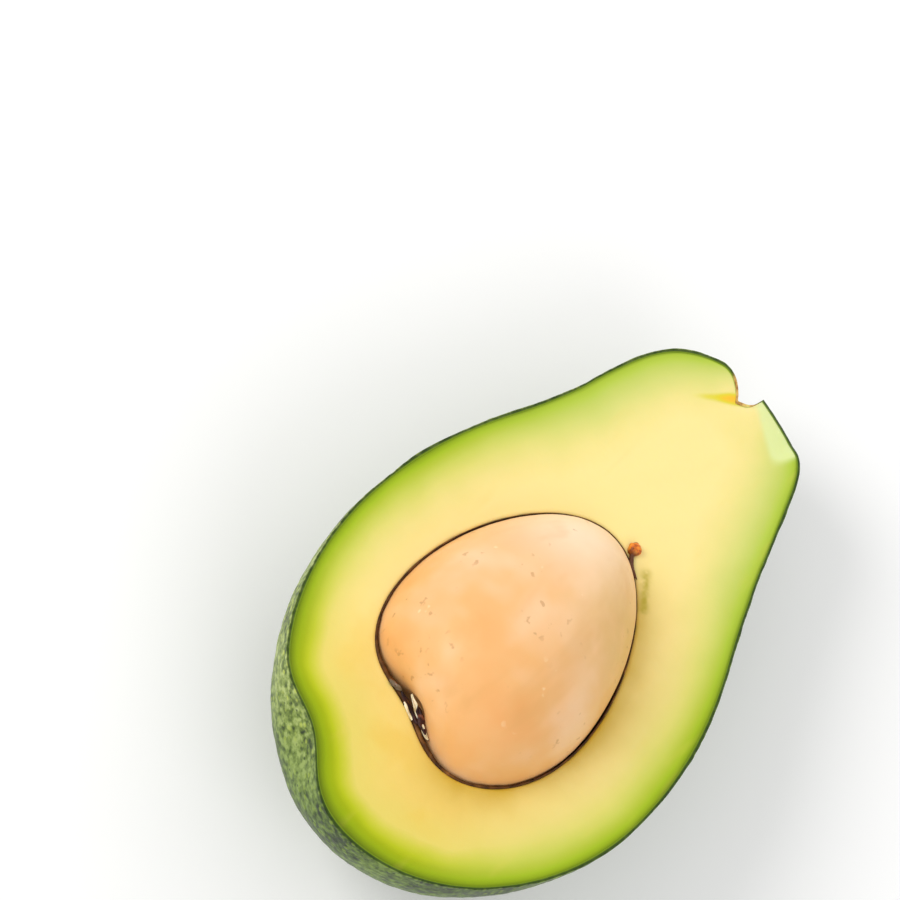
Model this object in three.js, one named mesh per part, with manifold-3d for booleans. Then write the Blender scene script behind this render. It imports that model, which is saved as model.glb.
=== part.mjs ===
// Half of a pear-shaped, green-skinned avocado, cut lengthways through blossom end and stem end,
// with its seed still seated. It lies on its rounded back, cut face up, the way a half settles on
// a table: the neck hangs a little lower than the fat end, and the back is pressed to a small flat
// spot where it rests.
//
// Millimetres, +Z up, +X towards the stem end. Shapes are first worked out in the fruit's own
// frame, with the blossom pole at the origin, the core line along +X and the cut plane at z = 0,
// and are then tipped by REST_TILT about the Y axis.

import * as THREE from 'three';
import { mergeVertices } from 'three/addons/utils/BufferGeometryUtils.js';
import Module from 'manifold-3d';

// Fruit outline: a rounded belly and a squarer neck, blended into one pear profile.
const FRUIT_LENGTH = 122.2;
const BELLY_RADIUS = 36.3;
const BELLY_STATION = 45.6; // widest station, measured from the blossom pole
const BELLY_REACH = 52.4; // from the widest station to where the belly curve alone would close
const NECK_RADIUS = 23.5;
const NECK_REACH = 54; // half length of the neck curve, which ends at the stem pole
const NECK_SQUARENESS = 3.5; // exponent of the neck curve: 2 is an ellipse
const BLEND_SHARPNESS = 5.4; // exponent that joins belly and neck
const NECK_LEAN = 4.2; // how far the core line has strayed to +Y at the stem pole
const BACK_ROUNDNESS = 0.97; // depth of the back against its half width

// Dimple pressed into the blossom end, just where the cut runs through it.
const DIMPLE_STATION = 7;
const DIMPLE_SIDE = 15.3;
const DIMPLE_DEPTH = 4.9;
const DIMPLE_RADIUS = 9.3;

// Shoulder that stands out on the -Y side of the stem end, away from the middle of the neck.
const SHOULDER_STATION = 119;
const SHOULDER_SIDE = -12.5;
const SHOULDER_HEIGHT = 3.2;
const SHOULDER_RADIUS = 8.2;
const NECK_MIDDLE_STATION = 92;

// Scar left by the stem: half a bowl in the stem pole.
const SCAR_RADIUS = 3.6; // across the cut
const SCAR_DROP = 7; // below the cut
const SCAR_DEPTH = 5;
const SCAR_SIDE = 0.8; // offset to +Y from the core line

const PEEL_THICKNESS = 1;
const SEED_COAT_THICKNESS = 0.4;
const FIT_GAP = 0.3; // clearance between any two layers

// Seed: an egg with its broad end towards the blossom end and a dent in that broad end.
const SEED_LENGTH = 59.4;
const SEED_WIDTH = 41.4;
const SEED_HEIGHT = 40;
const SEED_TAPER = 0.18; // share of the girth gained at the broad end and lost at the narrow end
const SEED_STATION = 50.3; // seed centre from the blossom pole
const SEED_SIDE = 1.8; // seed centre to +Y from the blossom pole
const SEED_DROP = 4; // seed centre below the cut plane
const SEED_YAW = THREE.MathUtils.degToRad(1.2);
const SEED_DENT_DEPTH = 7.5;
const SEED_DENT_RADIUS = 10.4;
const SEED_DENT_BEARING = THREE.MathUtils.degToRad(163.2); // from the tip, round towards +Y

// How the half lies.
const REST_TILT = THREE.MathUtils.degToRad(7);
const REST_FLAT_DEPTH = 1; // how much of the round back the flat spot takes away

// Facets.
const FRUIT_COLUMNS = 46;
const FRUIT_ROWS = 34;
const SEED_COLUMNS = 32;
const SEED_ROWS = 24;
const SCAR_COLUMNS = 14;
const SCAR_ROWS = 10;

const wasm = await Module();
wasm.setup();

function withoutShading(geometry) {
  geometry.deleteAttribute('normal');
  geometry.deleteAttribute('uv');
  return geometry;
}

// A closed surface in place of a unit sphere with its poles on the X axis: placeAt turns each
// direction from the centre into the point where the surface lies.
function closedSurface(columns, rows, placeAt) {
  const surface = mergeVertices(withoutShading(new THREE.SphereGeometry(1, columns, rows)));
  surface.rotateZ(Math.PI / 2);
  movePoints(surface, (direction) => placeAt(direction.normalize()));
  return surface;
}

function movePoints(surface, move) {
  const positions = surface.getAttribute('position');
  const point = new THREE.Vector3();
  for (let i = 0; i < positions.count; i += 1) {
    point.fromBufferAttribute(positions, i);
    const moved = move(point, i);
    positions.setXYZ(i, moved.x, moved.y, moved.z);
  }
}

// The same surface moved outwards along its normals, or inwards for a negative distance.
function offsetSurface(surface, distance) {
  const moved = surface.clone();
  moved.computeVertexNormals();
  const normals = moved.getAttribute('normal');
  const normal = new THREE.Vector3();
  movePoints(moved, (point, i) => point.addScaledVector(normal.fromBufferAttribute(normals, i), distance));
  moved.deleteAttribute('normal');
  return moved;
}

// Tips a surface from the fruit's own frame into the resting one.
function tipped(surface) {
  return surface.clone().rotateY(REST_TILT);
}

// Presses a tipped surface flat at a level, where its round back would go below it.
function pressedFlat(surface, level) {
  movePoints(surface, (point) => point.setZ(Math.max(point.z, level)));
  return surface;
}

function ellipseHeight(share, exponent) {
  return Math.sqrt(Math.max(0, 1 - Math.abs(share) ** exponent));
}

function profileRadius(station) {
  const fromWidest = station - BELLY_STATION;
  const bellyReach = fromWidest < 0 ? BELLY_STATION : BELLY_REACH;
  const belly = BELLY_RADIUS * ellipseHeight(Math.min(1, Math.abs(fromWidest) / bellyReach), 2);
  const fromNeck = station - (FRUIT_LENGTH - NECK_REACH);
  const neck = NECK_RADIUS * ellipseHeight(Math.min(1, Math.abs(fromNeck) / NECK_REACH), NECK_SQUARENESS);
  return (belly ** BLEND_SHARPNESS + neck ** BLEND_SHARPNESS) ** (1 / BLEND_SHARPNESS);
}

function coreSide(station) {
  return NECK_LEAN * (station / FRUIT_LENGTH) ** 2;
}

const dimpleCentre = new THREE.Vector3(DIMPLE_STATION, DIMPLE_SIDE, 0);
const dimpleInward = new THREE.Vector3(BELLY_STATION, 0, 0).sub(dimpleCentre).normalize();
const shoulderCentre = new THREE.Vector3(SHOULDER_STATION, SHOULDER_SIDE, 0);
const shoulderOutward = shoulderCentre.clone().sub(new THREE.Vector3(NECK_MIDDLE_STATION, 0, 0)).normalize();

// How much of a bell-shaped dent or bulge reaches a point.
function bellShare(point, centre, radius) {
  return Math.exp(-((point.distanceTo(centre) / radius) ** 2));
}

function skinPoint(direction) {
  const station = (FRUIT_LENGTH / 2) * (1 + direction.x);
  const radius = profileRadius(station);
  const around = Math.hypot(direction.y, direction.z) || 1;
  const point = new THREE.Vector3(
    station,
    coreSide(station) + (radius * direction.y) / around,
    (BACK_ROUNDNESS * radius * direction.z) / around,
  );
  const dimple = DIMPLE_DEPTH * bellShare(point, dimpleCentre, DIMPLE_RADIUS);
  const shoulder = SHOULDER_HEIGHT * bellShare(point, shoulderCentre, SHOULDER_RADIUS);
  return point.addScaledVector(dimpleInward, dimple).addScaledVector(shoulderOutward, shoulder);
}

function seedPoint(direction) {
  const girth = 1 - SEED_TAPER * direction.x;
  const point = new THREE.Vector3(
    (SEED_LENGTH / 2) * direction.x,
    (SEED_WIDTH / 2) * girth * direction.y,
    (SEED_HEIGHT / 2) * girth * direction.z,
  );
  const dentCentre = new THREE.Vector3(
    (SEED_LENGTH / 2) * Math.cos(SEED_DENT_BEARING),
    (SEED_WIDTH / 2) * Math.sin(SEED_DENT_BEARING),
    0,
  );
  const sink = SEED_DENT_DEPTH * bellShare(point, dentCentre, SEED_DENT_RADIUS);
  point.addScaledVector(point.clone().normalize(), -sink);
  point.applyAxisAngle(new THREE.Vector3(0, 0, 1), SEED_YAW);
  return point.add(new THREE.Vector3(SEED_STATION, SEED_SIDE, -SEED_DROP));
}

function scarPoint(direction) {
  return new THREE.Vector3(
    FRUIT_LENGTH + SCAR_DEPTH * direction.x,
    coreSide(FRUIT_LENGTH) + SCAR_SIDE + SCAR_RADIUS * direction.y,
    SCAR_DROP * direction.z,
  );
}

function toSolid(surface) {
  return new wasm.Manifold(new wasm.Mesh({
    numProp: 3,
    vertProperties: new Float32Array(surface.getAttribute('position').array),
    triVerts: new Uint32Array(surface.getIndex().array),
  }));
}

function toGeometry(solid) {
  const { vertProperties, triVerts } = solid.getMesh();
  const geometry = new THREE.BufferGeometry();
  geometry.setAttribute('position', new THREE.BufferAttribute(vertProperties, 3));
  geometry.setIndex(new THREE.BufferAttribute(triVerts, 1));
  return geometry;
}

// Everything above the knife's cut, as one block that is larger than the fruit.
function aboveCut() {
  const size = 2 * (FRUIT_LENGTH + 2 * BELLY_RADIUS);
  const block = mergeVertices(withoutShading(new THREE.BoxGeometry(size, size, size)));
  return toSolid(tipped(block.translate(0, 0, size / 2)));
}

const skin = closedSurface(FRUIT_COLUMNS, FRUIT_ROWS, skinPoint);
const seed = closedSurface(SEED_COLUMNS, SEED_ROWS, seedPoint);
const scar = toSolid(tipped(closedSurface(SCAR_COLUMNS, SCAR_ROWS, scarPoint)));
const cutAway = aboveCut();

const tippedSkin = tipped(skin);
tippedSkin.computeBoundingBox();
const restLevel = tippedSkin.boundingBox.min.z + REST_FLAT_DEPTH;

// The fruit's body at a depth below its skin, still whole, with the flat spot carried inwards.
function bodyBelowSkin(depth) {
  return toSolid(pressedFlat(tipped(offsetSurface(skin, -depth)), restLevel + depth));
}

// The seed's body grown by a distance.
function seedGrownBy(distance) {
  return toSolid(tipped(offsetSurface(seed, distance)));
}

const coatInside = FIT_GAP;
const coatOutside = coatInside + SEED_COAT_THICKNESS;
const seat = coatOutside + FIT_GAP;

const solids = {
  peel: bodyBelowSkin(0).subtract(bodyBelowSkin(PEEL_THICKNESS)).subtract(cutAway).subtract(scar),
  flesh: bodyBelowSkin(PEEL_THICKNESS + FIT_GAP).subtract(cutAway).subtract(scar).subtract(seedGrownBy(seat)),
  seed_coat: seedGrownBy(coatOutside).subtract(seedGrownBy(coatInside)).subtract(cutAway),
  seed: seedGrownBy(0),
};

const finishes = {
  peel: new THREE.MeshStandardMaterial({ color: 0x3f6128, roughness: 0.42, metalness: 0 }),
  flesh: new THREE.MeshStandardMaterial({ color: 0xeedd85, roughness: 0.5, metalness: 0 }),
  seed_coat: new THREE.MeshStandardMaterial({ color: 0x5a3018, roughness: 0.7, metalness: 0 }),
  seed: new THREE.MeshStandardMaterial({ color: 0xd9a46a, roughness: 0.45, metalness: 0 }),
};

const avocadoHalf = new THREE.Group();
avocadoHalf.name = 'avocado_half';
for (const [name, solid] of Object.entries(solids)) {
  const piece = new THREE.Mesh(toGeometry(solid), finishes[name]);
  piece.name = name;
  avocadoHalf.add(piece);
}

// The origin is the middle of the half's footprint, at the level it rests on.
const extent = new THREE.Box3().setFromObject(avocadoHalf);
const middle = extent.getCenter(new THREE.Vector3());
avocadoHalf.position.set(-middle.x, -middle.y, -extent.min.z);

export default avocadoHalf;
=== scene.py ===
"""Half of a pear-shaped, green-skinned avocado, cut lengthways, with its seed still seated.

It lies on its rounded back, cut face up. Every shape is worked out in millimetres in the fruit's
own frame: blossom pole at the origin, core line along +X, cut plane at z = 0, back below it.
rested() then tips it to the way it lies, presses the flat spot and carries it into the CAD frame.
"""

import math

import bmesh
import bpy
import numpy as np
from mathutils import Matrix, Vector


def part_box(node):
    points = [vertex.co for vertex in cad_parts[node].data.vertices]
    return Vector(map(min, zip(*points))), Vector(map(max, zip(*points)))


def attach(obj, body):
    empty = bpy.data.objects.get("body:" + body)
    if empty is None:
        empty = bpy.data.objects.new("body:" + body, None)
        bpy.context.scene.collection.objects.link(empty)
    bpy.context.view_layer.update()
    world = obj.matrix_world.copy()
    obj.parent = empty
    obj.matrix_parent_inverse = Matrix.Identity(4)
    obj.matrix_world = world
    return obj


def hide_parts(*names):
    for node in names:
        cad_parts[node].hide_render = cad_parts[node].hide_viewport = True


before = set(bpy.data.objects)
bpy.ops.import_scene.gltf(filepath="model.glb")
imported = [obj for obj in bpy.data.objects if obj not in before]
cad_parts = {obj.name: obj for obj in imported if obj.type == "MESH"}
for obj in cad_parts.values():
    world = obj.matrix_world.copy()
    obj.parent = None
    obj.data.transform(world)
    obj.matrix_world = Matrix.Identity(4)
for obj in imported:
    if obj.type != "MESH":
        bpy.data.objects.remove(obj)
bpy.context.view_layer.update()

MM = 0.001

# Fruit outline, as the CAD model has it.
FRUIT_LENGTH = 122.2
BELLY_RADIUS = 36.3
BELLY_STATION = 45.6  # widest station, measured from the blossom pole
BELLY_REACH = 52.4  # from there to where the belly's curve alone would close
NECK_RADIUS = 23.5
NECK_REACH = 54.0  # half length of the neck's curve, which ends at the stem pole
NECK_SQUARENESS = 3.5  # its exponent, where 2 is an ellipse
BLEND_SHARPNESS = 5.4  # exponent that joins belly and neck
NECK_LEAN = 4.2  # how far the core line has strayed to +Y at the stem pole
BACK_ROUNDNESS = 0.97  # depth of the back against its half width

# Dent in the skin beside the blossom pole, as the CAD model has it.
DIMPLE_CENTRE = np.array([7.0, 15.3, 0.0])
DIMPLE_DEPTH = 4.9
DIMPLE_RADIUS = 9.3

# Where the neck swells away from its middle: place, height and radius. The first is the CAD model's
# shoulder, and the others fill out the neck a little.
NECK_MIDDLE = np.array([92.0, 0.0, 0.0])
NECK_SWELLS = (
    (np.array([119.0, -12.5, 0.0]), 3.2, 8.2),
    (np.array([93.5, 25.5, 0.0]), 0.85, 8.5),
    (np.array([113.5, 19.5, 0.0]), 0.45, 8.0),
    (np.array([92.5, -21.6, 0.0]), 0.95, 7.5),
)

# Stem scar: where its deepest line lies, its depth, and how far its walls reach to -Y, to +Y and down.
SCAR_SIDE = NECK_LEAN + 0.3
SCAR_DEPTH = 4.8
SCAR_STEEP_REACH, SCAR_STEEPNESS = 2.9, 5
SCAR_GENTLE_REACH, SCAR_GENTLENESS = 6.8, 1.9
SCAR_DROP = 7.0
SCAR_STATIONS = FRUIT_LENGTH - 12, FRUIT_LENGTH - 5  # it fades in between these

# Seed, as the CAD model has it.
SEED_AXES = np.array([29.7, 20.7, 20.0])
SEED_CENTRE = np.array([50.3, 1.8, -4.0])
SEED_TAPER = 0.18  # share of the girth gained at the broad end and lost at the tip
SEED_YAW = math.radians(1.2)
SEED_DENT_BEARING = math.radians(163.2)
SEED_DENT_DEPTH = 7.5
SEED_DENT_RADIUS = 10.4

REST_TILT = math.radians(7.0)
REST_FLAT_DEPTH = 1.0  # how much of the round back the flat spot takes away

PEEL_THICKNESS = 0.75  # the real skin; the CAD solid holds it and its clearance
LAYER_GAP = 0.02
SEAM_WIDEST = 0.74  # from seed to flesh, with the seed's coat between them
SEAM_NARROWEST = 0.34
SEAM_NARROW_BEARING = math.radians(20.0)

# Shallow facet that the knife left beside the stem scar: its inner edge, and how steeply it falls.
NICK_START = np.array([118.6, 1.5])
NICK_END = np.array([113.0, -7.5])
NICK_SLOPE = math.tan(math.radians(10.0))

HALVINGS = 30  # enough to find where a surface meets the cut to far less than a micrometre


# ---------------------------------------------------------------- noise

AXIS_FACTORS = np.array([0x9E3779B1, 0x85EBCA77, 0xC2B2AE3D], np.uint64)
PATTERN_FACTOR, PATTERN_OFFSET = 7919, 101


def lattice_hash(cell, pattern):
    """A random number from 0 to 1 for each whole-number cell, another for each pattern's number:
    the cell's coordinates are multiplied by large odd numbers, mixed and folded."""
    x, y, z = np.moveaxis(cell.astype(np.int64).astype(np.uint64) * AXIS_FACTORS, -1, 0)
    h = (x ^ y ^ z ^ np.uint64(pattern * PATTERN_FACTOR + PATTERN_OFFSET)) * np.uint64(0x27D4EB2F)
    h ^= h >> np.uint64(15)
    h = (h * np.uint64(0x165667B1)) & np.uint64(0xFFFFFFFF)
    h ^= h >> np.uint64(13)
    return (h & np.uint64(0xFFFFFF)).astype(float) / float(0xFFFFFF)


def smooth_noise(points, size, pattern):
    """Value noise from -1 to 1: random values on a cubic lattice of the given size, blended with
    smooth steps."""
    q = points / size
    base = np.floor(q)
    f = q - base
    f = f * f * (3 - 2 * f)
    total = 0.0
    for corner in np.ndindex(2, 2, 2):
        corner = np.array(corner)
        weight = np.prod(np.where(corner == 1, f, 1 - f), axis=-1)
        total = total + weight * lattice_hash(base + corner, pattern)
    return 2 * total - 1


def cell_distance(points, size, pattern):
    """Distance to the nearest and to the second nearest of points scattered one to a cell of a
    cubic lattice, in cell sizes."""
    q = points / size
    base = np.floor(q)
    first = np.full(q.shape[:-1], 9.0)
    second = first.copy()
    for offset in np.ndindex(3, 3, 3):
        cell = base + np.array(offset) - 1
        centre = cell + np.stack([lattice_hash(cell, pattern + axis) for axis in (1, 2, 3)], -1)
        d = np.linalg.norm(q - centre, axis=-1)
        second = np.minimum(second, np.maximum(first, d))
        first = np.minimum(first, d)
    return first, second


def smoothstep(value, low, high):
    """0 at low, 1 at high, smooth between; the other way round if high is below low."""
    s = np.clip((value - low) / (high - low), 0, 1)
    return s * s * (3 - 2 * s)


def unit(vectors):
    """The same directions with length 1."""
    return vectors / np.maximum(np.linalg.norm(vectors, axis=-1, keepdims=True), 1e-12)


# ---------------------------------------------------------------- fruit

def ellipse_height(share, exponent):
    """Height of a squared-off ellipse: 1 at its middle and 0 where the share reaches 1."""
    return np.sqrt(np.clip(1 - np.abs(share) ** exponent, 0, None))


def profile_radius(station):
    """Radius of the pear at a station: a belly of two half ellipses and a squarer neck, joined as
    the root of the sum of their powers."""
    reach = np.where(station < BELLY_STATION, BELLY_STATION, BELLY_REACH)
    belly = BELLY_RADIUS * ellipse_height((station - BELLY_STATION) / reach, 2)
    neck_share = (station - FRUIT_LENGTH + NECK_REACH) / NECK_REACH
    neck = NECK_RADIUS * ellipse_height(neck_share, NECK_SQUARENESS)
    return (belly ** BLEND_SHARPNESS + neck ** BLEND_SHARPNESS) ** (1 / BLEND_SHARPNESS)


def core_side(station):
    """How far the core line has strayed to +Y: it grows with the square of the station."""
    return NECK_LEAN * (station / FRUIT_LENGTH) ** 2


def skin_point(station, around):
    """Point of the undimpled skin: a circle of the profile radius round the core line, slightly
    flattened. around is 0 at the +Y rim, a quarter turn straight down, a half turn at the -Y rim."""
    radius = profile_radius(station)
    return np.stack([
        station + 0 * around,
        core_side(station) + radius * np.cos(around),
        -BACK_ROUNDNESS * radius * np.sin(around),
    ], -1)


def skin_normal(points):
    """Outward normal: the gradient of (distance from the core line) squared less radius squared."""
    x, y, z = np.moveaxis(points, -1, 0)
    step = 0.01
    low, high = np.clip(x - step, 0, FRUIT_LENGTH), np.clip(x + step, 0, FRUIT_LENGTH)
    squared_slope = (profile_radius(high) ** 2 - profile_radius(low) ** 2) / (high - low)
    side = y - core_side(x)
    lean = 2 * NECK_LEAN * x / FRUIT_LENGTH ** 2
    return unit(np.stack([-squared_slope / 2 - side * lean, side, z / BACK_ROUNDNESS ** 2], -1))


def bell(points, centre, radius):
    """1 at the centre, falling off as a bell curve over the radius."""
    return np.exp(-(np.linalg.norm(points - centre, axis=-1) / radius) ** 2)[..., None]


def scar_depth(points):
    """Depth of the stem scar along the core line: a bowl whose -Y wall is steep and whose +Y wall
    climbs gently to the lip, with a step between them that widens downwards."""
    side = points[..., 1] - SCAR_SIDE
    down = points[..., 2] / SCAR_DROP
    gentle = np.clip(1 - np.hypot(side / SCAR_GENTLE_REACH, 0.7 * down), 0, 1) ** SCAR_GENTLENESS
    steep = np.clip(1 - np.hypot(side / SCAR_STEEP_REACH, down) ** SCAR_STEEPNESS, 0, 1) ** 0.5
    floor = 1 - 0.35 * np.clip(-side / SCAR_STEEP_REACH, 0, 1)
    share = smoothstep(side, -0.5 + 1.5 * down, 0.7 - 1.5 * down)
    near_pole = smoothstep(points[..., 0], *SCAR_STATIONS)
    return SCAR_DEPTH * near_pole * (share * gentle + (1 - share) * floor * steep)


def broad_shapes(points):
    """How far the dimple and the swells carry a point of the skin: the dimple towards the middle
    of the belly, the swells away from the middle of the neck."""
    inward = unit(np.array([BELLY_STATION, 0.0, 0.0]) - DIMPLE_CENTRE)
    shift = DIMPLE_DEPTH * bell(points, DIMPLE_CENTRE, DIMPLE_RADIUS) * inward
    for centre, height, radius in NECK_SWELLS:
        shift = shift + height * bell(points, centre, radius) * unit(centre - NECK_MIDDLE)
    return shift


def chance_shapes(points):
    """The same with the stem scar, which carries the skin back along the core line."""
    return broad_shapes(points) - scar_depth(points)[..., None] * np.array([1.0, 0.0, 0.0])


def layer(points, depth):
    """The skin's points carried to a depth below it, with dimple, swells and scar put in."""
    return points - np.asarray(depth)[..., None] * skin_normal(points) + chance_shapes(points)


def nick_height(points):
    """Height of the cut surface: zero, and a slope down beyond the edge of the knife's facet."""
    along = NICK_END - NICK_START
    outward = np.array([-along[1], along[0]]) / np.hypot(*along)
    x, y = points[..., 0] - NICK_START[0], points[..., 1] - NICK_START[1]
    beyond = x * outward[0] + y * outward[1]
    share = (x * along[0] + y * along[1]) / (along @ along)
    inside = smoothstep(share, -0.26, -0.19) * (1 - smoothstep(share + 0.034 * beyond, 0.8, 1.2))
    return -NICK_SLOPE * np.clip(beyond, 0, None) * inside


def tipped(points):
    """The fruit's own frame turned about +Y, so that the stem end dips."""
    x, y, z = np.moveaxis(points, -1, 0)
    c, s = math.cos(REST_TILT), math.sin(REST_TILT)
    return np.stack([x * c + z * s, y, z * c - x * s], -1)


def stations(count):
    """Stations from pole to pole, closer together towards the poles."""
    return FRUIT_LENGTH / 2 * (1 - np.cos(np.linspace(0, np.pi, count)))


# The plain skin, pebbling left out, gives the level of the flat spot and the way to the CAD frame.
plain_skin = tipped(layer(skin_point(stations(240)[:, None], np.linspace(0, np.pi, 160)[None]), 0.0))
REST_LEVEL = plain_skin[..., 2].min() + REST_FLAT_DEPTH
peel_low, peel_high = (np.array(corner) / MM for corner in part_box("peel"))
plain_middle = (plain_skin.min((0, 1)) + plain_skin.max((0, 1))) / 2
TO_FRAME = np.array([
    (peel_low[0] + peel_high[0]) / 2 - plain_middle[0],
    (peel_low[1] + peel_high[1]) / 2 - plain_middle[1],
    peel_low[2] - REST_LEVEL,
])


def rested(points, depth=0.0):
    """Tips the fruit's own frame to the way the half lies, keeps each layer above the flat spot
    and gives CAD frame metres."""
    lying = tipped(points)
    lying[..., 2] = np.maximum(lying[..., 2], REST_LEVEL + depth)
    return (lying + TO_FRAME) * MM


# ---------------------------------------------------------------- meshes

def grid_faces(rows, columns, closed=False):
    """Quads of a rows by columns grid of vertices; closed joins the last column to the first."""
    last = columns if closed else columns - 1
    start, c = np.meshgrid(np.arange(rows - 1) * columns, np.arange(last), indexing="ij")
    beside = (c + 1) % columns
    quad = np.stack([start + c, start + columns + c, start + columns + beside, start + beside], -1)
    return quad.reshape(-1, 4)


def mesh_piece(name, points, faces, values=None, weld=2e-6):
    """A smooth-shaded object from metres and quads. Vertices that coincide, at poles and seams,
    are made one, and faces that vanish are dropped; values become attributes of the points."""
    mesh = bpy.data.meshes.new(name)
    points = points.reshape(-1, 3)
    mesh.vertices.add(len(points))
    mesh.vertices.foreach_set("co", points.astype(np.float32).ravel())
    mesh.loops.add(faces.size)
    mesh.loops.foreach_set("vertex_index", faces.astype(np.int32).ravel())
    mesh.polygons.add(len(faces))
    mesh.polygons.foreach_set("loop_start", np.arange(0, faces.size, 4, dtype=np.int32))
    mesh.update(calc_edges=True)
    for key, value in (values or {}).items():
        attribute = mesh.attributes.new(key, "FLOAT", "POINT")
        attribute.data.foreach_set("value", np.asarray(value, np.float32).ravel())
    built = bmesh.new()
    built.from_mesh(mesh)
    bmesh.ops.remove_doubles(built, verts=built.verts, dist=weld)
    bmesh.ops.dissolve_degenerate(built, edges=built.edges, dist=weld)
    bmesh.ops.recalc_face_normals(built, faces=built.faces)
    built.to_mesh(mesh)
    built.free()
    mesh.shade_smooth()
    piece = bpy.data.objects.new(name, mesh)
    bpy.context.scene.collection.objects.link(piece)
    return piece


def finish_piece(piece, material, slot, *nodes):
    """Gives a piece its material and its body, and hides the CAD nodes it replaces; slot is not used."""
    piece.data.materials.append(material)
    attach(piece, "root")
    if nodes:
        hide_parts(*nodes)
    return piece


# ---------------------------------------------------------------- shader maths

def srgb(red, green, blue):
    """Colour from 0-255 screen values, as the linear numbers that shaders take."""
    share = np.array([red, green, blue]) / 255
    linear = np.where(share <= 0.04045, share / 12.92, ((share + 0.055) / 1.055) ** 2.4)
    return (*linear.tolist(), 1.0)


class Value:
    """A socket of numbers with Python's arithmetic."""

    def __init__(self, shader, socket):
        self.shader, self.socket = shader, socket

    def math(self, operation, *others):
        inputs = {i: getattr(v, "socket", v) for i, v in enumerate((self, *others))}
        return self.shader.value("ShaderNodeMath", {"operation": operation}, inputs)

    def __add__(self, other):
        return self.math("ADD", other)

    def __sub__(self, other):
        return self.math("SUBTRACT", other)

    def __rsub__(self, other):
        return (self * -1.0).math("ADD", other)

    def __mul__(self, other):
        return self.math("MULTIPLY", other)

    __radd__, __rmul__ = __add__, __mul__

    def step(self, low, high):
        """0 below low, 1 above high, smooth between; the other way round if high is below low."""
        settings = {"interpolation_type": "SMOOTHSTEP", "clamp": True}
        if high < low:
            return 1.0 - self.step(high, low)
        inputs = {"Value": self, "From Min": low, "From Max": high}
        return self.shader.value("ShaderNodeMapRange", settings, inputs, "Result")


class Shader:
    """A Principled material whose nodes are made by one method."""

    def __init__(self, name, **constants):
        self.material = bpy.data.materials.new(name)
        self.material.use_nodes = True
        self.tree = self.material.node_tree
        self.principled = self.tree.nodes["Principled BSDF"]
        for socket, constant in constants.items():
            self.principled.inputs[socket.replace("_", " ")].default_value = constant
        self.here = self.node("ShaderNodeTexCoord", {}, {}, "Object")

    def node(self, kind, settings, inputs, output=0):
        """One node: its settings, where stops are a colour ramp's, and then the values or links of
        its sockets."""
        node = self.tree.nodes.new(kind)
        for key, setting in settings.items():
            if key == "stops":
                for stop in range(len(setting) - 2):
                    node.color_ramp.elements.new(0.5)
                for element, (position, colour) in zip(node.color_ramp.elements, setting):
                    element.position, element.color = position, colour
            else:
                setattr(node, key, setting)
        for key, given in inputs.items():
            given = getattr(given, "socket", given)
            if isinstance(given, bpy.types.NodeSocket):
                self.tree.links.new(given, node.inputs[key])
            else:
                node.inputs[key].default_value = given
        return node.outputs[output]

    def value(self, kind, settings, inputs, output=0):
        return Value(self, self.node(kind, settings, inputs, output))

    def attribute(self, name):
        return self.value("ShaderNodeAttribute", {"attribute_name": name}, {}, "Fac")

    def noise(self, per_metre, detail=2.0, stretch=None, turn=0.0):
        """Clouds from 0 to 1, if asked turned by degrees about +Z and stretched."""
        where = self.here
        if stretch:
            mapping = {"Vector": self.here, "Rotation": (0.0, 0.0, math.radians(turn)), "Scale": stretch}
            where = self.node("ShaderNodeMapping", {}, mapping)
        inputs = {"Vector": where, "Scale": per_metre, "Detail": detail}
        return self.value("ShaderNodeTexNoise", {}, inputs, "Fac")

    def spots(self, per_metre):
        """Distance from the nearest of scattered points, in their spacing."""
        inputs = {"Vector": self.here, "Scale": per_metre}
        return self.value("ShaderNodeTexVoronoi", {}, inputs, "Distance")

    def ramp(self, value, *stops):
        """A colour ramp over a value; each stop is a place and a screen colour."""
        stops = [(place, srgb(*colour)) for place, colour in stops]
        return self.node("ShaderNodeValToRGB", {"stops": stops}, {"Fac": value}, "Color")

    def blend(self, share, colour, other, how="MIX"):
        settings = {"data_type": "RGBA", "blend_type": how}
        return self.node("ShaderNodeMix", settings, {0: share, 6: colour, 7: other}, 2)

    def bump(self, height, millimetres):
        inputs = {"Height": height, "Distance": millimetres * MM, "Strength": 1.0}
        return self.node("ShaderNodeBump", {}, inputs, "Normal")

    def feed(self, **links):
        """Links what varies over the surface to the shader's sockets."""
        for key, given in links.items():
            socket = self.principled.inputs[key.replace("_", " ")]
            self.tree.links.new(getattr(given, "socket", given), socket)
        return self.material


# ---------------------------------------------------------------- peel

PEEL_ROWS, SKIN_COLUMNS, LINING_COLUMNS = 430, 190, 14
PEBBLE_SIZE = 2.4
PEBBLE_HEIGHT = 0.11
SWELL_HEIGHT = 0.16
PEEL_EDGE = math.radians(50.0)  # edges sharper than this stay crisp


def cut_angle(station):
    """Angle from the -Y rim down to where the knife's facet has lowered the cut, zero elsewhere."""
    rim = skin_point(station, np.pi)
    depth = -nick_height(layer(rim, 0.0))
    back_depth = np.maximum(BACK_ROUNDNESS * profile_radius(station), 0.1)
    return np.arcsin(np.clip(depth / back_depth, 0, 0.6))


def scar_share(points):
    """1 inside the stem scar, 0 outside its lip."""
    return smoothstep(scar_depth(points), 0.5, 1.6)


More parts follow.
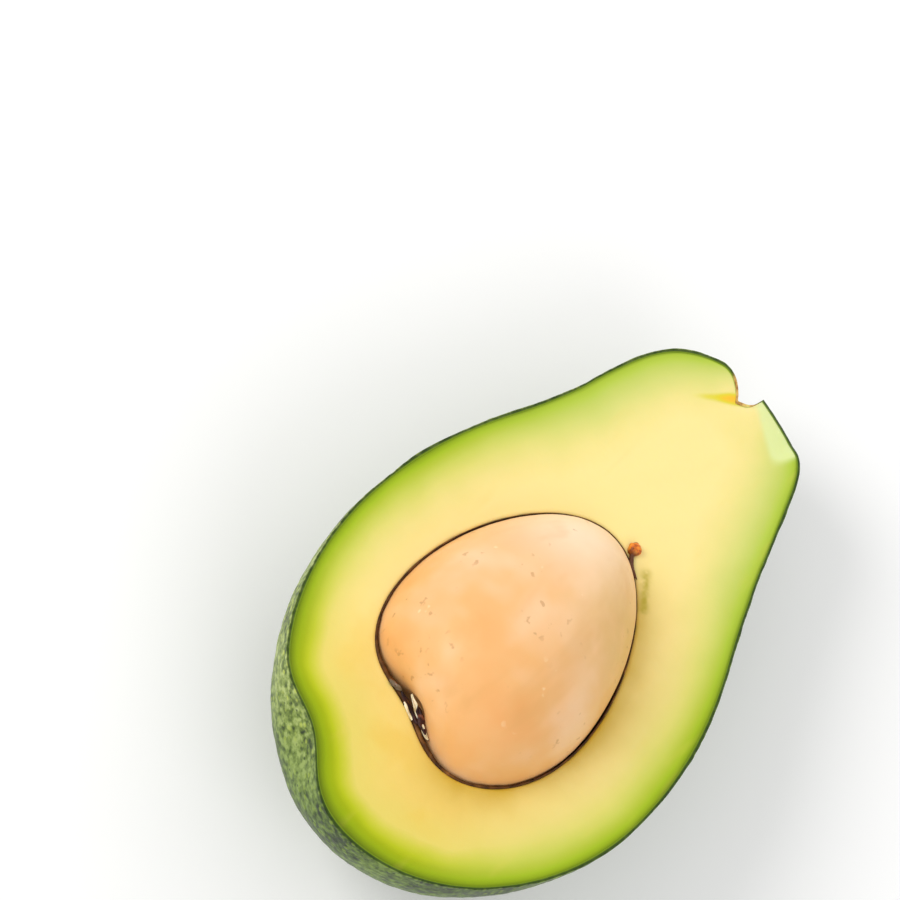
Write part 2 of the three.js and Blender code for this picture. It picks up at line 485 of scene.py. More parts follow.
def skin_relief(points):
    """Height of the skin's pebbling: round-topped cells, a little longer than wide, on gentle
    swells, all smoothed away inside the stem scar."""
    first, second = cell_distance(points * [0.72, 1.0, 1.0], PEBBLE_SIZE, 11)
    pebbles = smoothstep(second - first, 0.0, 0.55) * (0.6 + 0.4 * smooth_noise(points, 5.0, 3))
    swells = smooth_noise(points, 9.0, 5) + 0.5 * smooth_noise(points, 4.0, 6)
    return (PEBBLE_HEIGHT * pebbles + SWELL_HEIGHT * (swells - 1)) * (1 - scar_share(points))


def skin_green_and_painted_shade(points):
    """How much darker the skin is than by the +Y rim: towards -Y this is painted shade, and down the back
    it is the skin's own deeper green, which leaves the band by the rim lighter as a painted sheen.
    """
    down = smoothstep(-points[..., 2], 2.0, 20.0)
    across = smoothstep(points[..., 1], 29.0, 2.0)
    return 1 - (1 - down) * (1 - 0.85 * across)


def make_peel(material):
    """A closed band round the back: at each station the skin from rim to rim, then the lining back
    again one peel's thickness further in."""
    station = stations(PEEL_ROWS)[:, None]
    last = np.pi - cut_angle(station)
    skin = skin_point(station, last * np.linspace(0, 1, SKIN_COLUMNS))
    lining = skin_point(station, last * np.linspace(1, 0, LINING_COLUMNS))
    relief = skin_relief(skin)
    outer = layer(skin, 0.0) + relief[..., None] * skin_normal(skin)
    inner = layer(lining, PEEL_THICKNESS)
    for edge in (outer[:, 0], outer[:, -1], inner[:, 0], inner[:, -1]):
        edge[:, 2] = nick_height(edge)
    points = np.concatenate([rested(outer), rested(inner, PEEL_THICKNESS)], 1)
    both = np.concatenate([skin, lining], 1)
    values = {
        "under": np.concatenate([np.zeros(outer.shape[:2]), np.ones(inner.shape[:2])], 1),
        "scar": scar_share(both),
        # painted shade towards -Y, and the skin's own deeper green down the back
        "deep": skin_green_and_painted_shade(both),
    }
    faces = grid_faces(PEEL_ROWS, points.shape[1], closed=True)
    peel = mesh_piece("peel_skin", points, faces, values)
    peel.data.set_sharp_from_angle(angle=PEEL_EDGE)
    return finish_piece(peel, material, "peel", "peel")


# ---------------------------------------------------------------- seed

def seed_surface(direction, grown=0.0, dent=SEED_DENT_DEPTH):
    """Egg: an ellipsoid whose girth falls from its broad end to its tip, a bell-shaped dent in the
    broad end, turned a little about the vertical. direction is from its centre, grown is how far
    outside the seed the surface lies."""
    axes = SEED_AXES + np.asarray(grown)[..., None]
    girth = np.ones(direction.shape)
    girth[..., 1:] -= SEED_TAPER * direction[..., :1]
    points = axes * girth * direction
    dent_centre = axes * [math.cos(SEED_DENT_BEARING), math.sin(SEED_DENT_BEARING), 0.0]
    away = np.linalg.norm(points - dent_centre, axis=-1) / SEED_DENT_RADIUS
    points = points - (dent * np.exp(-away ** 2))[..., None] * unit(points)
    x, y, z = np.moveaxis(points, -1, 0)
    c, s = math.cos(SEED_YAW), math.sin(SEED_YAW)
    return np.stack([x * c - y * s, x * s + y * c, z], -1) + SEED_CENTRE


def round_seed(bearing, rise):
    """Unit direction at a bearing in the cut plane and an angle above it."""
    return np.stack([np.cos(rise) * np.cos(bearing), np.cos(rise) * np.sin(bearing), np.sin(rise)], -1)


def even_bearing(point):
    """Bearing of the ellipsoid's direction whose own point lies at the same bearing as this one."""
    x, y = point[..., 0] - SEED_CENTRE[0], point[..., 1] - SEED_CENTRE[1]
    return np.arctan2(y / SEED_AXES[1], x / SEED_AXES[0])


def seam_at(bearing, climb=1.0):
    """Width of the seam at a bearing: a cosine between its narrowest and its widest at the cut
    plane, where climb is 1, evening out to their mean at the bottom of the seat."""
    swing = -np.cos(bearing - SEAM_NARROW_BEARING) * climb
    return (SEAM_WIDEST + SEAM_NARROWEST + (SEAM_WIDEST - SEAM_NARROWEST) * swing) / 2


def rise_to_cut(bearing, grown, dent):
    """Angle at which a grown seed surface meets the cut plane, by halving."""
    low, high = np.full(bearing.shape, -0.6), np.full(bearing.shape, 1.0)
    for _ in range(HALVINGS):
        middle = (low + high) / 2
        below = seed_surface(round_seed(bearing, middle), grown, dent)[..., 2] < 0
        low, high = np.where(below, middle, low), np.where(below, high, middle)
    return (low + high) / 2


SEED_ROWS, SEED_COLUMNS = 210, 290
SEAT_DENT_DEPTH = 5.6  # the flesh follows the seed's dent only part of the way
PIT_PLACE, PIT_RADIUS, PIT_DEPTH = np.array([27.6, 4.6, -0.5]), 2.8, 1.1
# Painted highlight on the seed's upper shoulder towards the stem, and painted shade on its -Y shoulder:
# place and radius of each.
SEED_HIGHLIGHT_PLACE, SEED_HIGHLIGHT_RADIUS = np.array([72.0, 9.0, 10.0]), 15.0
SEED_SHADE_PLACE, SEED_SHADE_RADIUS = np.array([62.0, -11.0, 9.0]), 13.0


def seed_relief(points):
    """Broad lumps, a small pit in the dent, a faint grain of low ridges running lengthwise and a
    fine unevenness."""
    lumps = 0.12 * smooth_noise(points, 13.0, 21) + 0.04 * smooth_noise(points, 5.0, 22)
    grain = 0.022 * smooth_noise(points * [0.22, 1.0, 1.0], 1.3, 23)
    pit = PIT_DEPTH * bell(points, PIT_PLACE, PIT_RADIUS)[..., 0]
    return lumps - pit + grain + 0.015 * smooth_noise(points, 0.9, 24)


def make_seed(material):
    """The egg on a grid of rows from pole to pole along its length, closed round each row."""
    t = np.linspace(0, np.pi, SEED_ROWS)[:, None]
    around = np.linspace(0, 2 * np.pi, SEED_COLUMNS, endpoint=False)
    girth = np.sin(t)
    direction = np.stack([-np.cos(t) + 0 * around, girth * np.cos(around), girth * np.sin(around)], -1)
    plain = seed_surface(direction)
    points = plain + seed_relief(plain)[..., None] * unit(direction / SEED_AXES)
    faces = grid_faces(SEED_ROWS, SEED_COLUMNS, closed=True)
    # pale carries the painted highlight on the upper shoulder, tan the painted shade on the -Y shoulder.
    values = {"pale": bell(points, SEED_HIGHLIGHT_PLACE, SEED_HIGHLIGHT_RADIUS), "tan": bell(points, SEED_SHADE_PLACE, SEED_SHADE_RADIUS)}
    seed = mesh_piece("seed_body", rested(points), faces, values)
    return finish_piece(seed, material, "seed", "seed")


# ---------------------------------------------------------------- flesh

OUTLINE_SIDE = 300
SEAT_ROWS, FACE_ROWS, BACK_ROWS = 22, 88, 16
STREAK_START, STREAK_END = np.array([116.9, 5.4]), np.array([110.8, 11.2])
SCAR_MIDDLE = np.array([120.0, 3.0, 0.0])
SCAR_PALE_REACH, SCAR_PALENESS = 6.0, 9.0  # by the scar the flesh is as pale as this much further in
BRUISE_START, BRUISE_END = np.array([79.0, -6.0]), np.array([73.6, -10.2])
BRUISE_WIDTH = 0.9
GOLD_SHADE_REACH = 4.4  # how far the gold-tinted painted shade reaches round the seed
WORN_SEAT, WORN_RIM = 0.22, 0.05  # how far the cut's two edges are rounded down
SEAT_LIP_DROP = 0.4  # how far the seat's last row lies below the cut
FLESH_EDGE = math.radians(60.0)  # edges sharper than this stay crisp
FLESH_DEPTH = PEEL_THICKNESS + LAYER_GAP
SCAR_CLEARANCE = 1.2  # how far the flesh keeps back from the skin's steep walls below the cut


def outline():
    """The skin's edge in the cut plane, from the blossom pole along +Y to the stem and back."""
    station = stations(OUTLINE_SIDE)
    there = skin_point(station, np.zeros(OUTLINE_SIDE))
    back = skin_point(station[::-1], np.full(OUTLINE_SIDE, np.pi))
    return np.concatenate([there, back[1:-1]])


def on_back(edge, share):
    """Skin point straight below the place that lies this share of the way from the seed's centre
    out to the edge."""
    middle = np.array([SEED_CENTRE[0], SEED_CENTRE[1], 0.0])
    place = middle + share[..., None] * (edge - middle)
    side = place[..., 1] - core_side(place[..., 0])
    radius = profile_radius(place[..., 0])
    place[..., 2] = -BACK_ROUNDNESS * np.sqrt(np.clip(radius ** 2 - side ** 2, 0, None))
    return place


def share_at_cut(edge):
    """Share at which the flesh's back meets the lowered cut of the facet, by halving; 1 elsewhere."""
    low, high = np.full(len(edge), 0.8), np.ones(len(edge))
    for _ in range(HALVINGS):
        middle = (low + high) / 2
        place = layer(on_back(edge, middle), FLESH_DEPTH)
        below = place[:, 2] < nick_height(place) - 1e-6
        low, high = np.where(below, middle, low), np.where(below, high, middle)
    return high


def distance_to(points, curve):
    """Distance in the cut plane from each point to the nearest point of a curve, row by row."""
    rows = [np.linalg.norm(row[:, None, :2] - curve[None, :, :2], axis=-1).min(1) for row in points]
    return np.stack(rows)


def face_relief(points):
    """Knife marks: long low ripples across the cut, and a faint unevenness of the flesh."""
    x, y = points[..., 0], points[..., 1]
    along = 0.42 * x + 0.91 * y
    ripple_place = np.stack([(0.91 * x - 0.42 * y) / 9.0, along, 0 * x], -1)
    ripples = smooth_noise(ripple_place, 3.2, 31)
    return 0.05 * ripples + 0.05 * smooth_noise(points, 6.0, 32) + 0.02 * smooth_noise(points, 1.6, 33)


def seed_shade_side(points):
    """How much gold-tinted painted shade the flesh takes by the seed: the seed's shadow is painted more
    on the -Y side and round the tip than on +Y.
    """
    slanted = points[..., 1] + 0.12 * (points[..., 0] - SEED_CENTRE[0])
    return 0.08 + 0.92 * smoothstep(slanted, 4.0, -14.0)


def bruise_share(points):
    """A short olive mark in the flesh: 1 along a line, falling off beside it as a bell curve."""
    along = BRUISE_END - BRUISE_START
    place = points[..., :2] - BRUISE_START
    share = np.clip(place @ along / (along @ along), 0, 1)
    away = np.linalg.norm(place - share[..., None] * along, axis=-1)
    return np.exp(-(away / BRUISE_WIDTH) ** 2) * smoothstep(points[..., 2], -4.0, -1.0)


def strand_streak(points):
    """The yellow trace of the stem's strand: 1 at the scar, thinning out and fading away from it."""
    along = STREAK_END - STREAK_START
    x, y = points[..., 0] - STREAK_START[0], points[..., 1] - STREAK_START[1]
    share = (x * along[0] + y * along[1]) / (along @ along)
    away = np.abs(x * along[1] - y * along[0]) / np.hypot(*along)
    width = 0.45 + 0.85 * (1 - np.clip(share, 0, 1))
    across = (1 - smoothstep(away, 0.1 * width, 1.4 * width)) * smoothstep(share, -0.35, -0.2)
    return across * (1 - 0.5 * smoothstep(share, 0.0, 0.5)) * (1 - smoothstep(share, 0.5, 1.1))


def in_nick(points):
    """1 on the knife's facet, 0 on the rest of the cut."""
    return smoothstep(-nick_height(points), 0.0, 0.3)


def make_flesh(material):
    """A closed body on columns that fan out from the seed to points of the skin's edge: up the
    seat, across the cut face and back under to the middle."""
    edge = outline()
    bearing = even_bearing(edge)
    rim_rise = rise_to_cut(bearing, seam_at(bearing), SEAT_DENT_DEPTH)
    climb = np.linspace(0, 1, SEAT_ROWS)[:, None] ** 0.8
    seat_direction = round_seed(bearing, -np.pi / 2 + climb * (rim_rise + np.pi / 2))
    seat = seed_surface(seat_direction, seam_at(bearing, climb), SEAT_DENT_DEPTH)
    last = share_at_cut(edge)
    rim = layer(on_back(edge, last), FLESH_DEPTH)
    across = np.linspace(0, 1, FACE_ROWS + 2)[1:-1, None]
    across = (0.6 * across + 0.4 * (0.5 - 0.5 * np.cos(np.pi * across)))[..., None]
    face = seat[-1] + across * (rim - seat[-1])
    tuck = np.linspace(1, 0, BACK_ROWS + 1)[1:, None]
    behind = on_back(edge, last * np.sin(tuck * np.pi / 2))
    back = layer(behind, FLESH_DEPTH)
    in_scar = smoothstep(scar_depth(behind), 0.0, 0.6) * smoothstep(-behind[..., 2], 0.2, 1.4)
    back[..., 0] -= SCAR_CLEARANCE * in_scar

    skin_edge = layer(edge, 0.0)
    to_rim, to_seat = distance_to(face, skin_edge), distance_to(face, seat[-1])
    whole_edge = edge + broad_shapes(edge)  # as if the stem scar weren't there
    by_scar = bell(face, SCAR_MIDDLE, SCAR_PALE_REACH)[..., 0]
    green_depth = distance_to(face, whole_edge) + SCAR_PALENESS * by_scar
    seat_green_depth = distance_to(seat[-1:], skin_edge)
    # Painted shade of the seed, tinted gold: strongest by the seat's edge and on the seed's -Y side.
    gold_seed_shade = np.exp(-(to_seat + 0.6) / GOLD_SHADE_REACH) * seed_shade_side(face)

    settle = smoothstep(to_rim, PEEL_THICKNESS, PEEL_THICKNESS + 1.5) * smoothstep(to_seat, 0, 1.5)
    worn = WORN_SEAT * np.exp(-(to_seat / 0.35) ** 2)
    worn += WORN_RIM * np.exp(-((to_rim - PEEL_THICKNESS) / 0.4) ** 2)
    face[..., 2] = nick_height(face) + settle * face_relief(face) - worn
    seat[-1, :, 2] -= SEAT_LIP_DROP
    rim[:, 2] = nick_height(rim) - WORN_RIM
    points = np.concatenate([seat, face, rim[None], back])

    def by_rows(on_seat, on_face, on_rim):
        """One value for each vertex: the seat's, the face's, the rim's and zero on the back."""
        parts = (on_seat, SEAT_ROWS), (on_face, FACE_ROWS), (on_rim, 1), (0.0, BACK_ROWS)
        return np.concatenate([np.broadcast_to(part, (rows, len(edge))) for part, rows in parts])

    values = {
        "rim": by_rows(seat_green_depth, green_depth, PEEL_THICKNESS),
        # the seat's walls under the seed take painted shade throughout
        "golden": by_rows(0.6, gold_seed_shade, 0.0),
        "nick": by_rows(0.0, in_nick(face), in_nick(rim)),
        "streak": by_rows(0.0, strand_streak(face), strand_streak(rim)),
        "blossom": smoothstep(points[..., 0], 44.0, 14.0) * smoothstep(points[..., 1], -32.0, -10.0),
        "stem": smoothstep(points[..., 0], 62.0, 100.0),
        "bruise": bruise_share(points),
    }
    first_behind = len(points) - BACK_ROWS - 1
    lying = [rested(points[:first_behind]), rested(points[first_behind:], FLESH_DEPTH)]
    faces = grid_faces(len(points), len(edge), closed=True)
    flesh = mesh_piece("flesh_body", np.concatenate(lying), faces, values)
    flesh.data.set_sharp_from_angle(angle=FLESH_EDGE)
    return finish_piece(flesh, material, "flesh", "flesh")


# ---------------------------------------------------------------- seed coat

COAT_ROWS, COAT_COLUMNS = 26, 560
COAT_WALLS = 0.92, 0.5  # where its outer and inner wall lie, as shares of the seam's width
COAT_DROP = 0.12  # how far its edge stays below the cut, on average


def make_coat(material):
    """A closed cup in the gap round the seed, with a ragged edge near the cut plane."""
    bearing = np.linspace(-np.pi, np.pi, COAT_COLUMNS, endpoint=False)
    edge_place = 30.0 * round_seed(bearing, 0.0 * bearing)
    ragged = 0.14 * smooth_noise(edge_place, 2.2, 41) + 0.1 * smooth_noise(edge_place, 0.9, 42)
    climb = np.linspace(0, 1, COAT_ROWS)[:, None] ** 0.8
    walls = []
    for place in COAT_WALLS:
        dent = SEED_DENT_DEPTH + (SEAT_DENT_DEPTH - SEED_DENT_DEPTH) * place
        rise = rise_to_cut(bearing, seam_at(bearing) * place, dent)
        rise += (ragged - COAT_DROP) / SEED_AXES[1]
        direction = round_seed(bearing, -np.pi / 2 + climb * (rise + np.pi / 2))
        walls.append(seed_surface(direction, seam_at(bearing, climb) * place, dent))
    points = np.concatenate([walls[0], walls[1][::-1]])
    faces = grid_faces(len(points), COAT_COLUMNS, closed=True)
    coat = mesh_piece("seed_coat_film", rested(points), faces)
    return finish_piece(coat, material, "seed_coat", "seed_coat")


# Torn flakes at the seed's dent: place (x, y, z), heading in degrees, length, width, curl, lift and
# how pale they are.
FLAKES = (
    ((26.1, 5.9, -0.1), 70, 6.4, 1.2, 0.5, 10, 0.0),
    ((26.6, 4.4, 0.1), 63, 6.4, 0.7, 0.4, -14, 1.0),
    ((29.0, 7.4, 0.4), 88, 4.2, 1.0, 0.8, 22, 0.1),
    ((25.9, 2.9, 0.3), 58, 5.2, 1.2, 0.6, 16, 0.0),
    ((25.4, 5.6, 0.05), 68, 3.4, 0.35, 0.2, 6, 1.0),
    ((27.0, 10.2, 0.1), 96, 2.8, 1.1, 0.4, 8, 0.2),
    ((24.8, 1.0, 0.1), 74, 2.6, 0.6, 0.3, 4, 0.9),
)
FLAKE_ROWS, FLAKE_COLUMNS = 22, 9
FLAKE_THICKNESS = 0.14


def make_flakes(material):
    """Each flake is a leaf-shaped sheet: its width follows an ellipse, its edges are nibbled by
    noise, and its tips curl up by the square of the distance from its middle."""
    u, v = np.meshgrid(np.linspace(-1, 1, FLAKE_ROWS), np.linspace(-1, 1, FLAKE_COLUMNS), indexing="ij")
    points, faces, paleness = [], [], []
    for number, (place, heading, length, width, curl, lift, pale) in enumerate(FLAKES):
        sheet = np.stack([u, v, 0 * u], -1)
        nibble = 1 + 0.35 * smooth_noise(sheet * 3 + 9 * number, 1.0, 51)
        half = width / 2 * np.sqrt(np.clip(1 - u ** 2, 0.02, 1)) * nibble
        c, s = math.cos(math.radians(heading)), math.sin(math.radians(heading))
        x, y = u * length / 2, v * half
        crumple = 0.25 * smooth_noise(sheet * 2 + 5 * number, 1.0, 52)
        z = curl * u ** 2 / 2 + crumple + y * math.sin(math.radians(lift))
        turned = np.stack([x * c - y * s, x * s + y * c, z], -1)
        faces.append(grid_faces(*u.shape) + number * u.size)
        points.append(rested(turned + place).reshape(-1, 3))
        paleness.append(np.full(u.size, pale))
    sheets, quads = np.concatenate(points), np.concatenate(faces)
    flakes = mesh_piece("seed_coat_flakes", sheets, quads, {"pale": np.concatenate(paleness)}, weld=1e-7)
    thick = flakes.modifiers.new("thickness", "SOLIDIFY")
    thick.thickness, thick.offset = FLAKE_THICKNESS * MM, 0.0
    return finish_piece(flakes, material, "seed_coat")


STRAND_START = np.array([81.7, -1.6, 0.3])
STRAND_BEND = np.array([77.9, -1.2, 0.4])
STRAND_STOP = np.array([76.8, -5.6, 0.1])
KNOB_RADIUS, TAIL_RADIUS = 1.15, 0.4
STRAND_ROWS, STRAND_COLUMNS = 90, 48


def make_strand(material):
    """The torn end of the strand that fed the seed: a tube along a parabola through its start and
    its stop that leans towards the bend, swollen to a lumpy knob at its start and drawn out along
    the seam."""
    along = np.linspace(0, 1, STRAND_ROWS)[:, None]
    around = np.linspace(0, 2 * np.pi, STRAND_COLUMNS, endpoint=False)
    a = along[..., None]
    middle = (1 - a) ** 2 * STRAND_START + 2 * a * (1 - a) * STRAND_BEND + a ** 2 * STRAND_STOP
    forward = unit((1 - a) * (STRAND_BEND - STRAND_START) + a * (STRAND_STOP - STRAND_BEND))
    side = unit(np.cross(forward, [0.0, 0.0, 1.0]))
    over = np.cross(side, forward)
    reach = np.linalg.norm(STRAND_STOP - STRAND_START) * along / KNOB_RADIUS
    knob = KNOB_RADIUS * np.sqrt(np.clip(1 - (reach - 1) ** 2, 0, 1))
    tail = TAIL_RADIUS * np.sqrt(np.clip(1 - along ** 3, 0, 1)) * smoothstep(reach, 0.1, 0.8)
    outward = np.cos(around)[..., None] * side + np.sin(around)[..., None] * over
    place = middle + KNOB_RADIUS * outward
    lumps = 1 + 0.34 * smooth_noise(place, 1.0, 61) + 0.14 * smooth_noise(place, 0.45, 62)
    points = middle + ((knob ** 4 + tail ** 4) ** 0.25 * lumps)[..., None] * outward
    faces = grid_faces(STRAND_ROWS, STRAND_COLUMNS, closed=True)
    values = {"tail": smoothstep(reach, 1.0, 2.2) + 0 * around}
    strand = mesh_piece("strand_end", rested(points), faces, values)
    return finish_piece(strand, material, "seed_coat")


# ---------------------------------------------------------------- finishes

def peel_finish():
    """Speckled green: clouds from dark to pale green, pale dots in two sizes and dark pits over
    them, darker down the back and, as painted shade, towards -Y; woody in the scar, dark and then lime
    under the edge."""
    s = Shader("pebbled green skin", Specular_IOR_Level=0.24, Coat_Weight=0.03, Coat_Roughness=0.3)
    cloud = s.noise(75, 3) * 0.4 + s.noise(800, 3) * 0.6
    base = s.ramp(cloud, (0.38, (42, 58, 10)), (0.46, (88, 107, 34)), (0.53, (130, 148, 66)),
                  (0.62, (180, 193, 118)))
    dots = s.spots(600).step(0.34, 0.16) * (s.noise(200, 1).step(0.35, 0.65) * 0.6 + 0.4)
    fine = s.spots(1250).step(0.36, 0.16) * s.noise(330, 1).step(0.42, 0.62)
    base = s.blend(dots * 0.8, base, srgb(190, 202, 88))
    base = s.blend(fine * 0.6, base, srgb(162, 178, 74))
    # Painted shade towards -Y and the skin's own deeper green down the back; the band by the rim stays
    # lighter as a painted sheen.
    base = s.blend(s.attribute("deep"), base, srgb(152, 178, 98), "MULTIPLY")
    pits = s.spots(820).step(0.3, 0.12) * s.noise(260, 1).step(0.46, 0.6)
    base = s.blend(pits * 0.8, base, srgb(30, 50, 16))
    under = s.attribute("under")
    base = s.blend(under.step(0.0, 0.25) * 0.85, base, srgb(44, 66, 12))
    base = s.blend(under.step(0.55, 1.0), base, srgb(122, 150, 10))
    woody = s.ramp(s.noise(700, 4), (0.35, (150, 104, 50)), (0.5, (214, 172, 96)), (0.7, (226, 214, 120)))
    base = s.blend(s.attribute("scar"), base, woody)
    rough = s.noise(400, 2) * 0.16 + 0.36 + s.attribute("scar") * 0.3
    normal = s.bump(dots * 0.5 + s.noise(900, 3) * 0.5, 0.12)
    return s.feed(Base_Color=base, Roughness=rough, Normal=normal)


RIM_REACH = 16.0  # millimetres from the skin over which the flesh goes from lime to pale yellow


def rim_stops(*stops):
    """Stops given in millimetres from the skin, as shares of the reach."""
    return [(millimetres / RIM_REACH, colour) for millimetres, colour in stops]


def flesh_finish():
    """Lime by the skin to pale yellow further in, more vivid at the blossom end and paler at the
    stem, with gold-tinted painted shade by the seed; over it fibres, mottling, the bruise, the facet and
    the strand's trace."""
    s = Shader("ripe flesh", Subsurface_Weight=0.2, Subsurface_Radius=(1.0, 0.75, 0.3),
               Subsurface_Scale=1.2 * MM, Specular_IOR_Level=0.2, Coat_Weight=0.03, Coat_Roughness=0.3)
    rim = s.attribute("rim")
    waver = (s.noise(38, 2) - 0.5) * 0.7 + (s.noise(150, 2) - 0.5) * 0.16
    depth = (rim + rim * waver) * (1 / RIM_REACH)
    colour = s.ramp(depth, *rim_stops(
        (0.7, (108, 132, 2)), (1.3, (144, 170, 14)), (2.0, (164, 190, 30)), (3.0, (182, 197, 58)),
        (4.5, (204, 209, 90)), (6.5, (225, 218, 118)), (9.0, (239, 223, 138)), (13.0, (252, 229, 152))))
    vivid = s.ramp(depth, *rim_stops(
        (0.75, (98, 118, 0)), (1.4, (126, 148, 0)), (2.2, (150, 172, 0)), (3.2, (163, 179, 0)),
        (4.3, (187, 197, 24)), (5.6, (209, 207, 66)), (7.4, (233, 215, 110)), (15.0, (246, 216, 118))))
    pale = s.ramp(depth, *rim_stops(
        (0.7, (126, 150, 24)), (1.3, (172, 196, 56)), (2.2, (184, 205, 74)), (3.4, (197, 209, 98)),
        (5.4, (214, 217, 120)), (7.4, (228, 222, 132)), (9.5, (240, 226, 142)), (13.5, (252, 231, 154))))
    colour = s.blend(s.attribute("blossom"), colour, vivid)
    colour = s.blend(s.attribute("stem"), colour, pale)
    # Painted shade round the seed and in its seat, tinted gold and broken into patches.
    gold_shade_patches = s.noise(110, 3).step(0.3, 0.7) * 0.35 + 0.78
    colour = s.blend(s.attribute("golden") * gold_shade_patches, colour, srgb(206, 187, 58), "MULTIPLY")
    fibres = s.noise(260, 2, stretch=(0.25, 1.0, 1.0)).step(0.58, 0.8)
    colour = s.blend(fibres * 0.15, colour, srgb(238, 206, 104))
    mottle = s.noise(85, 3).step(0.5, 0.7) * s.attribute("blossom") * depth.step(0.4, 0.8)
    colour = s.blend(mottle * 0.5, colour, srgb(238, 200, 84))
    bruise = s.attribute("bruise") * s.noise(400, 2).step(0.25, 0.6)
    colour = s.blend(bruise * 0.8, colour, srgb(178, 162, 24))
    colour = s.blend(s.attribute("nick") * 0.85, colour, srgb(226, 236, 164))
    trace = s.attribute("streak")
    yellow = s.ramp(trace, (0.3, (226, 216, 78)), (0.6, (230, 212, 54)), (0.95, (250, 196, 50)))
    colour = s.blend(trace.step(0.0, 0.6), colour, yellow)
    rough = s.noise(500, 2) * 0.2 + 0.38
    normal = s.bump(s.noise(900, 3) * 0.6 + s.noise(260, 2) * 0.4, 0.05)
    return s.feed(Base_Color=colour, Roughness=rough, Normal=normal)


def seed_finish():
    """Clouds of warm tan, a painted highlight on one shoulder and painted shade, tinted tan, on the
    other, with faint streaks lengthwise, brown specks and a few light ones."""
    s = Shader("smooth seed", Subsurface_Weight=0.1, Subsurface_Radius=(1.0, 0.5, 0.25),
               Subsurface_Scale=1.0 * MM, Specular_IOR_Level=0.35, Coat_Weight=0.05, Coat_Roughness=0.4)
    cloud = s.noise(45, 3)
    base = s.ramp(cloud, (0.34, (241, 172, 100)), (0.48, (243, 184, 118)), (0.64, (249, 203, 156)))
    # Painted highlight: a broad pale patch on the upper shoulder, where the light's reflection falls.
    base = s.blend(s.attribute("pale") * 0.85, base, srgb(255, 230, 200))
    # Painted shade on the seed's -Y shoulder, tinted tan.
    tan = s.attribute("tan") * (s.noise(130, 2).step(0.3, 0.6) * 0.4 + 0.5)
    base = s.blend(tan, base, srgb(220, 178, 104))
    streak = s.noise(120, 3, stretch=(0.16, 1.0, 1.0), turn=-44).step(0.52, 0.72)
    base = s.blend(streak * 0.3, base, srgb(214, 158, 86))
    specks = s.noise(600, 2).step(0.64, 0.72) * s.noise(90, 1).step(0.48, 0.62)
    base = s.blend(specks * 0.42, base, srgb(168, 112, 54))
    light = s.noise(480, 1).step(0.72, 0.8) * s.noise(70, 1).step(0.56, 0.66)
    base = s.blend(light * 0.6, base, srgb(255, 228, 180))
    rough = s.noise(300, 2) * 0.14 + 0.4
    normal = s.bump(s.noise(500, 3), 0.05)
    return s.feed(Base_Color=base, Roughness=rough, Normal=normal)


def coat_finish():
    """Brown paper in three depths."""
    s = Shader("papery brown coat", Specular_IOR_Level=0.3)
    base = s.ramp(s.noise(500, 3), (0.35, (58, 32, 6)), (0.55, (96, 58, 16)), (0.75, (140, 92, 40)))
    rough = s.noise(300, 1) * 0.2 + 0.55
    return s.feed(Base_Color=base, Roughness=rough, Normal=s.bump(s.noise(1200, 3), 0.08))


def flake_finish():
    """Dark or pale by each flake's own value, both mottled."""
    s = Shader("torn coat flakes", Specular_IOR_Level=0.35)
    mottle = s.noise(420, 2)
    dark = s.ramp(mottle, (0.4, (34, 14, 18)), (0.55, (62, 30, 26)), (0.66, (150, 92, 66)))
    light = s.ramp(mottle, (0.36, (176, 140, 76)), (0.5, (246, 232, 190)), (0.66, (254, 246, 222)))
    base = s.blend(s.attribute("pale"), dark, light)
    rough = s.noise(300, 1) * 0.2 + 0.5
    return s.feed(Base_Color=base, Roughness=rough, Normal=s.bump(s.noise(1500, 3), 0.06))


def strand_finish():
    """An orange knob, brown towards its tail."""
    s = Shader("strand end", Subsurface_Weight=0.1, Subsurface_Scale=0.5 * MM)
    base = s.ramp(s.noise(800, 2), (0.4, (120, 50, 6)), (0.5, (228, 118, 10)), (0.66, (250, 172, 50)))
    base = s.blend(s.attribute("tail"), base, srgb(92, 46, 4))
    rough = s.noise(700, 1) * 0.2 + 0.35
    return s.feed(Base_Color=base, Roughness=rough, Normal=s.bump(s.noise(1500, 2), 0.1))


# ---------------------------------------------------------------- stage, light and camera

FLOOR_REACH = 4.0  # metres from its middle to each side


def plain_material(name, colour, roughness):
    material = bpy.data.materials.new(name)
    material.use_nodes = True
    principled = material.node_tree.nodes["Principled BSDF"]
    principled.inputs["Base Color"].default_value = colour
    principled.inputs["Roughness"].default_value = roughness
    return material


def make_floor():
    mesh = bpy.data.meshes.new("floor")
    corners = [(x * FLOOR_REACH, y * FLOOR_REACH, 0.0) for x, y in ((-1, -1), (1, -1), (1, 1), (-1, 1))]
    mesh.from_pydata(corners, [], [(0, 1, 2, 3)])
    mesh.materials.append(plain_material("pale floor", (0.98, 0.98, 0.98, 1), 0.8))
    floor = bpy.data.objects.new("floor", mesh)
    bpy.context.scene.collection.objects.link(floor)


# The camera stands over the fat end and looks down on the cut face along the core line, turned so
# that the core line runs up to the right.
VIEW_TARGET = np.array([51.0, 1.0, 0.0])
VIEW_RISE = math.radians(59.1)  # of the line of sight above the cut face
VIEW_LEAN = math.radians(5.6)  # of the camera to +Y
VIEW_TURN = math.radians(44.1)  # of the camera about its line of sight
VIEW_DISTANCE = 1161.0
TARGET_RIGHT, TARGET_UP = 11.887, -32.744  # where the target lies from the middle of the view
SENSOR_WIDTH = 36.0
VIEW_WIDTH = 154.374  # how much the camera takes in at the target's distance


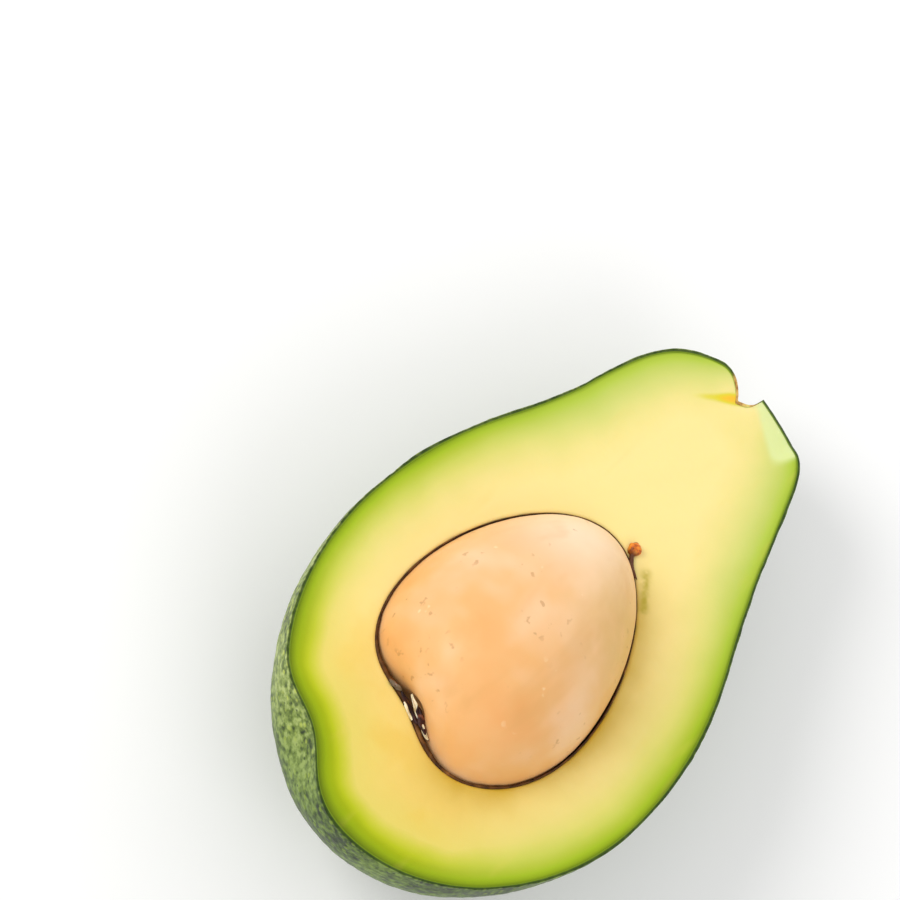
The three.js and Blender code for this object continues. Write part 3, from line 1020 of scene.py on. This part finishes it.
def view_axes():
    """The camera's right, up and back, in the CAD frame."""
    level = math.cos(VIEW_RISE)
    back = np.array([-math.cos(VIEW_LEAN) * level, math.sin(VIEW_LEAN) * level, math.sin(VIEW_RISE)])
    core = unit(np.array([1.0, 0.0, 0.0]) - back * back[0])
    side = np.cross(back, core)
    right = core * math.cos(VIEW_TURN) - side * math.sin(VIEW_TURN)
    up = core * math.sin(VIEW_TURN) + side * math.cos(VIEW_TURN)
    return [Vector(tipped(axis)) for axis in (right, up, back)]


def make_camera():
    right, up, back = view_axes()
    target = Vector(rested(VIEW_TARGET))
    eye = target + back * VIEW_DISTANCE * MM
    aim = target - (right * TARGET_RIGHT + up * TARGET_UP) * MM
    away = (eye - aim).normalized()
    right = (right - away * right.dot(away)).normalized()
    up = away.cross(right)
    data = bpy.data.cameras.new("camera")
    data.sensor_width = SENSOR_WIDTH
    data.lens = SENSOR_WIDTH * VIEW_DISTANCE / VIEW_WIDTH
    data.clip_start, data.clip_end = 0.05, 20.0
    camera = bpy.data.objects.new("camera", data)
    camera.matrix_world = Matrix.Translation(eye) @ Matrix((right, up, away)).transposed().to_4x4()
    bpy.context.scene.collection.objects.link(camera)
    bpy.context.scene.camera = camera


LIT_MIDDLE = 0.0, 0.0, 0.03  # metres
WARM_WHITE = 1.0, 0.985, 0.96
WORLD_STRENGTH = 0.68


def area_light(name, direction, distance, size, power, colour=(1.0, 1.0, 1.0)):
    """A round light of this size in metres and power in watts, which faces the fruit's middle."""
    data = bpy.data.lights.new(name, "AREA")
    data.shape, data.size, data.energy, data.color = "DISK", size, power, colour
    light = bpy.data.objects.new(name, data)
    light.location = Vector(LIT_MIDDLE) + direction.normalized() * distance
    light.rotation_mode = "QUATERNION"
    light.rotation_quaternion = direction.to_track_quat("Z", "Y")
    bpy.context.scene.collection.objects.link(light)


def make_light():
    right, up, back = view_axes()
    upper_left = up * 0.5 - right * 0.5 + back * 0.85
    lower_right = right * 0.45 - up * 0.6 + back * 0.8
    far_right = right * 0.68 + up * 0.68 - back * 0.28
    area_light("key", upper_left, distance=1.0, size=0.5, power=4.4, colour=WARM_WHITE)
    area_light("fill", lower_right, distance=1.2, size=0.9, power=2.4)
    area_light("behind", far_right, distance=0.9, size=0.7, power=2.6)
    world = bpy.data.worlds.new("studio")
    world.use_nodes = True
    background = world.node_tree.nodes["Background"]
    background.inputs["Color"].default_value = (1, 1, 1, 1)
    background.inputs["Strength"].default_value = WORLD_STRENGTH
    bpy.context.scene.world = world
    bpy.context.scene.view_settings.view_transform = "Standard"


make_peel(peel_finish())
make_flesh(flesh_finish())
make_seed(seed_finish())
make_coat(coat_finish())
make_flakes(flake_finish())
make_strand(strand_finish())
make_floor()
make_camera()
make_light()
